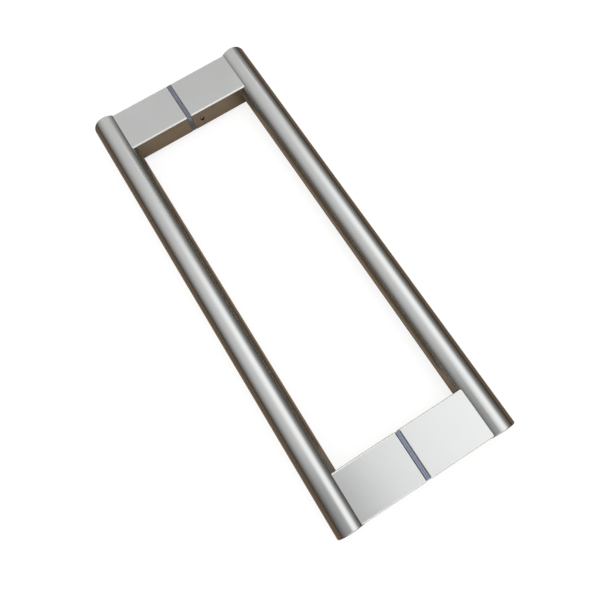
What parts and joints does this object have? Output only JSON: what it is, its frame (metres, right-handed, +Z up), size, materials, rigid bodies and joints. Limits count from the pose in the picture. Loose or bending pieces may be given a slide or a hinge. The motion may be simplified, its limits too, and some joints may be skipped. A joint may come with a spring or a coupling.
{
  "type": "glass door pull handle",
  "caption": "Back-to-back pull handle for a glass door: round satin tubes on coped rectangular blocks, which clamp the glass between clear gaskets.",
  "frame": {"origin": "on the surface that the handle lies on, under the middle of the pair: on the mid plane between the two halves and half way along the tubes", "axes": "+X across from the stud half to the lock half, +Y along the tubes to the upper end, +Z up from the surface"},
  "size_m": [0.156, 0.407, 0.025],
  "materials": {
    "satin_tube": "fine satin brush along the tube",
    "satin_block": "fine matte satin with bright eased edges",
    "clear_gasket": "soft clear plastic with a blue-grey tint",
    "plated_steel": "bright zinc plate",
    "dark_steel": "black oxide",
    "nylon": "natural nylon"
  },
  "bodies": {
    "root": {"left_tube": "satin_tube", "right_tube": "satin_tube", "left_upper_cap": "satin_tube", "left_lower_cap": "satin_tube", "right_upper_cap": "satin_tube", "right_lower_cap": "satin_tube", "left_upper_block": "satin_block", "left_lower_block": "satin_block", "right_upper_block": "satin_block", "right_lower_block": "satin_block", "left_upper_gasket": "clear_gasket", "left_lower_gasket": "clear_gasket", "right_upper_gasket": "clear_gasket", "right_lower_gasket": "clear_gasket", "upper_stud": "plated_steel", "lower_stud": "plated_steel", "upper_sleeve": "nylon", "lower_sleeve": "nylon", "upper_bush": "plated_steel", "lower_bush": "plated_steel", "upper_lock_screw": "dark_steel", "lower_lock_screw": "dark_steel", "upper_block_screw": "plated_steel", "lower_block_screw": "plated_steel", "left_upper_tube_nut": "plated_steel", "left_lower_tube_nut": "plated_steel", "right_upper_tube_nut": "plated_steel", "right_lower_tube_nut": "plated_steel"}
  },
  "joints": []
}
